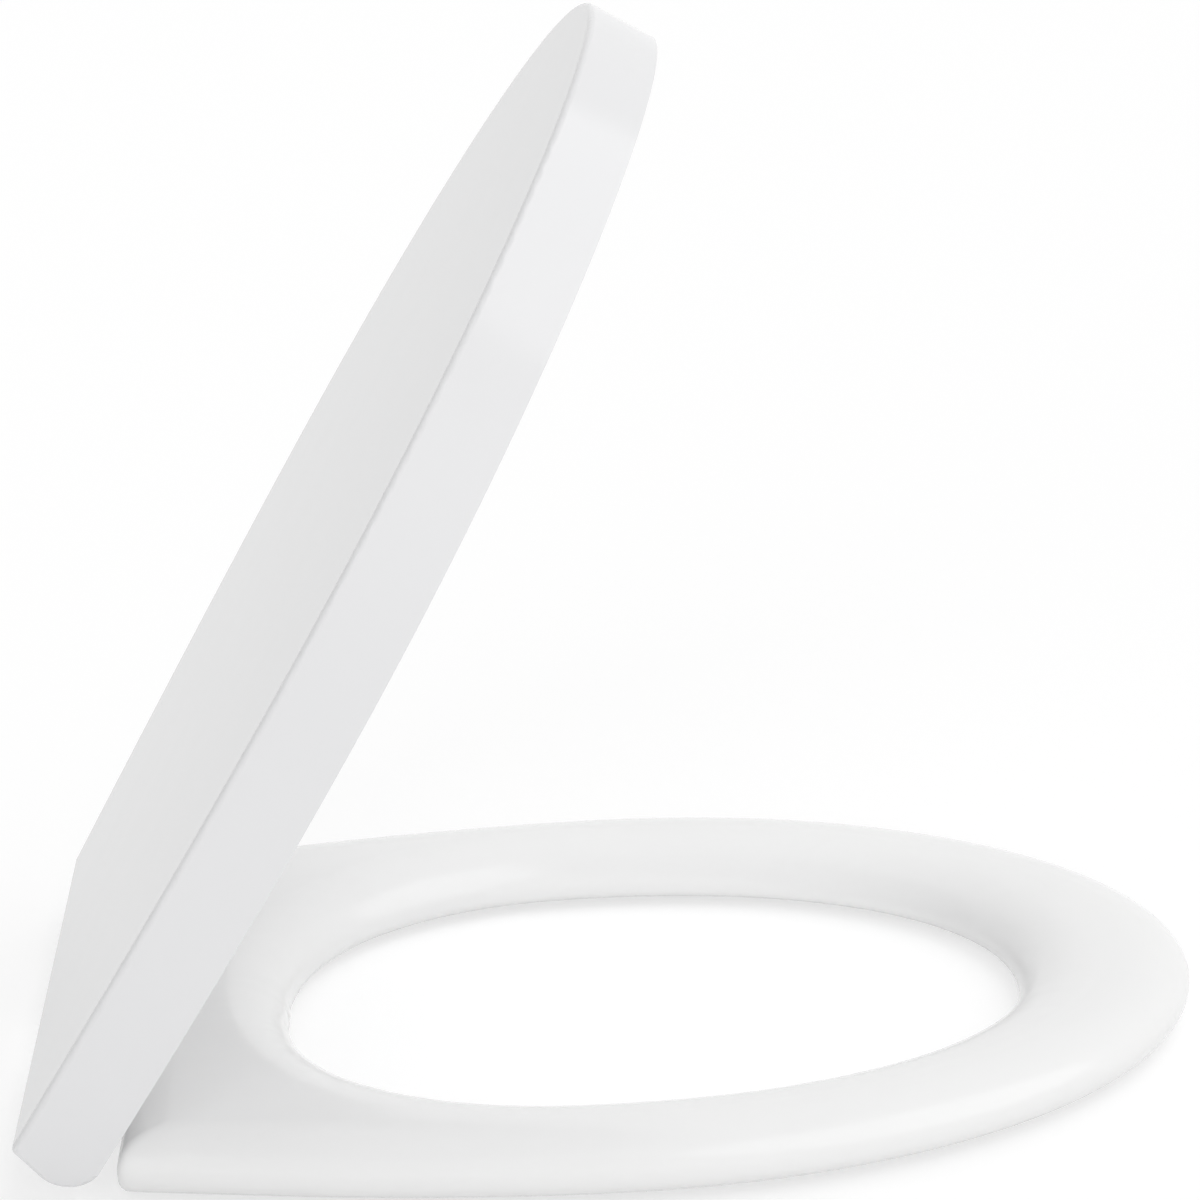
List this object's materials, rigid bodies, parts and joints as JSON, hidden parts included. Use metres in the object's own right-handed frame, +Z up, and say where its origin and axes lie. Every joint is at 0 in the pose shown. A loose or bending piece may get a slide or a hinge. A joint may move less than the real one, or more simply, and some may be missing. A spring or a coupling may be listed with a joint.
{
  "type": "toilet seat",
  "caption": "Wrap-over toilet seat: a crowned moulded ring and a flat lid with a deep skirt, turning on one axis between slow-closing hinges that bolt to the bowl.",
  "frame": {"origin": "midway between the two fixing holes, on the plane where the feet stand on the bowl", "axes": "+Z up from the bowl, +X to the right along the hinge axis as one faces the hinges from the front, and the front of the seat along -Y"},
  "size_m": [0.37, 0.4502, 0.4028],
  "materials": {
    "moulded_white": "polished",
    "bracket_plastic": "satin",
    "bearing_plastic": "satin",
    "steel": "turned",
    "rubber": "matt",
    "brass": "turned"
  },
  "bodies": {
    "base": {"hinge_bracket_left": "bracket_plastic", "hinge_bracket_right": "bracket_plastic", "foot_gasket_left": "rubber", "foot_gasket_right": "rubber", "threaded_insert_left": "brass", "threaded_insert_right": "brass", "lid_damper_shaft": "steel", "seat_damper_shaft": "steel", "lid_pivot_pin": "steel", "seat_pivot_pin": "steel"},
    "seat": {"seat_ring": "moulded_white", "seat_damper_body": "bearing_plastic", "seat_pivot_bush": "bearing_plastic", "seat_buffer_front_left": "rubber", "seat_buffer_front_right": "rubber", "seat_buffer_rear_left": "rubber", "seat_buffer_rear_right": "rubber"},
    "lid": {"lid": "moulded_white", "lid_damper_body": "bearing_plastic", "lid_pivot_bush": "bearing_plastic", "lid_buffer_left": "rubber", "lid_buffer_right": "rubber"}
  },
  "joints": [
    {"name": "seat_hinge", "type": "hinge", "parent": "base", "child": "seat", "pos_m": [0, 0.032, 0.022], "axis": [-1, 0, 0], "range_deg": [0, 93]},
    {"name": "lid_hinge", "type": "hinge", "parent": "seat", "child": "lid", "pos_m": [0, 0.032, 0.022], "axis": [-1, 0, 0], "range_deg": [-58.7, 37.3]}
  ]
}
